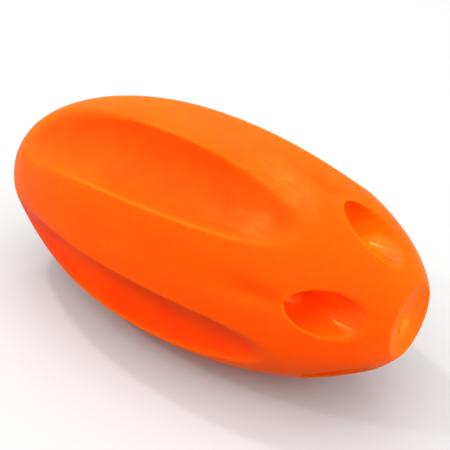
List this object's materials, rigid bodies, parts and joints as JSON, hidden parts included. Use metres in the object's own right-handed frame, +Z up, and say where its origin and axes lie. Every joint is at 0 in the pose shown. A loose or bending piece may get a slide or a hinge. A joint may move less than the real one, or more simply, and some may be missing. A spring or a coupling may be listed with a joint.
{
  "type": "training bumper",
  "caption": "Floating oval bumper of soft orange rubber with grip flutes round the middle, pockets round the nose and an inflation valve in a dish at the nose tip.",
  "frame": {"origin": "on the ground, below the middle of the bumper's whole length", "axes": "+X along the bumper from the closed tail to the nose with the dish and the valve, +Z up with one pocket uppermost and one flute lowest, +Y to the left when facing along +X"},
  "size_m": [0.1454, 0.07, 0.0679],
  "materials": {
    "orange_rubber": "satin",
    "valve_sleeve_rubber": "matte",
    "valve_plug_rubber": "satin"
  },
  "bodies": {
    "root": {"bumper_shell": "orange_rubber", "valve_housing": "valve_sleeve_rubber", "valve_core": "valve_plug_rubber"}
  },
  "joints": []
}
